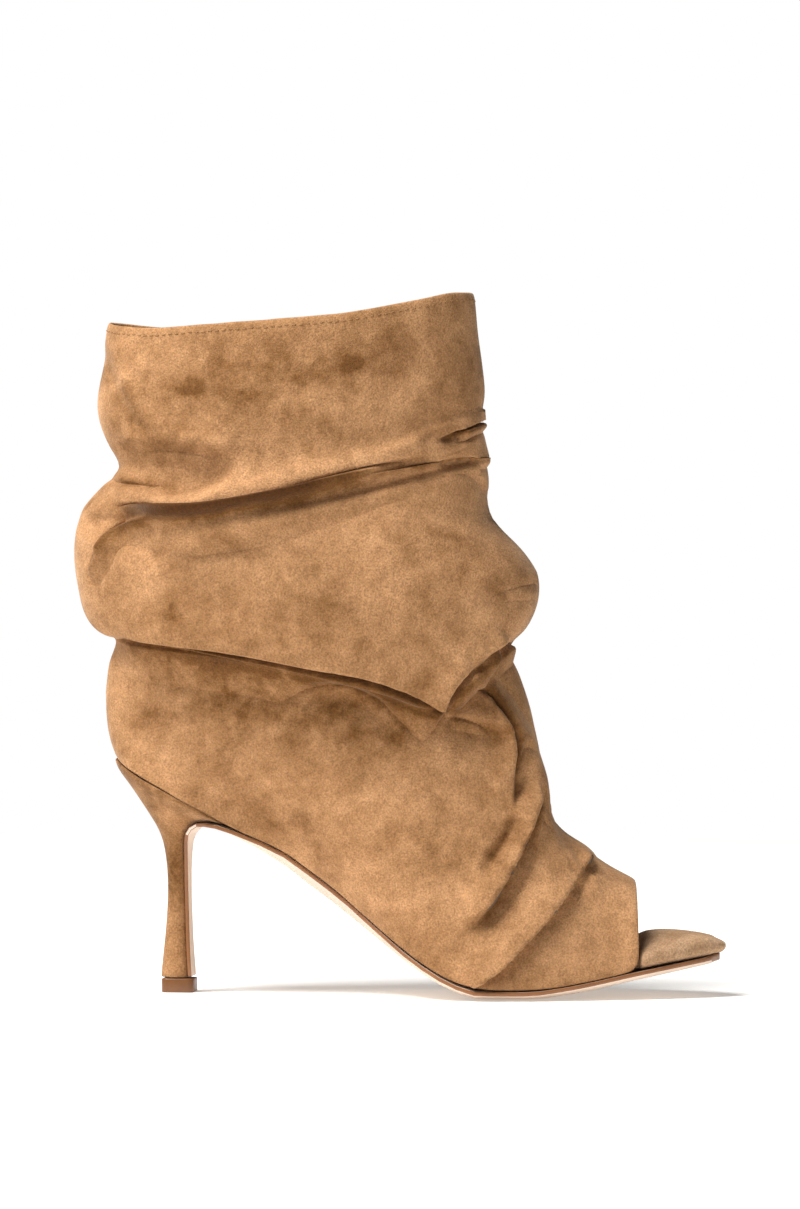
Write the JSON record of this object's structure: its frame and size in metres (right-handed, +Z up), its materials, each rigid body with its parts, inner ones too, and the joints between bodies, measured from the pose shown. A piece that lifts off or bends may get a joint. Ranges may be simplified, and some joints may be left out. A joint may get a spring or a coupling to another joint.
{
  "type": "peep toe ankle boot",
  "caption": "Slouched suede ankle boot with a peep toe, a padded footbed, a thin outsole and a flared stiletto heel",
  "frame": {"origin": "centre of the top piece's lower face, on the floor", "axes": "+X to the toe, +Y to the inner (medial) side of the foot, +Z up"},
  "size_m": [0.2453, 0.082, 0.263],
  "materials": {
    "suede": "tan suede, matt, with a mottled nap",
    "footbed_suede": "tan suede over padding, matt",
    "sole_leather": "pale beige underside, edge painted brown",
    "heel_suede": "tan suede, matt",
    "top_piece": "brown moulded plastic, satin",
    "plate": "plain grey metal, bare"
  },
  "bodies": {
    "root": {"upper": "suede", "footbed": "footbed_suede", "outsole": "sole_leather", "heel": "heel_suede", "top_piece": "top_piece", "shank_plate": "plate"}
  },
  "joints": []
}
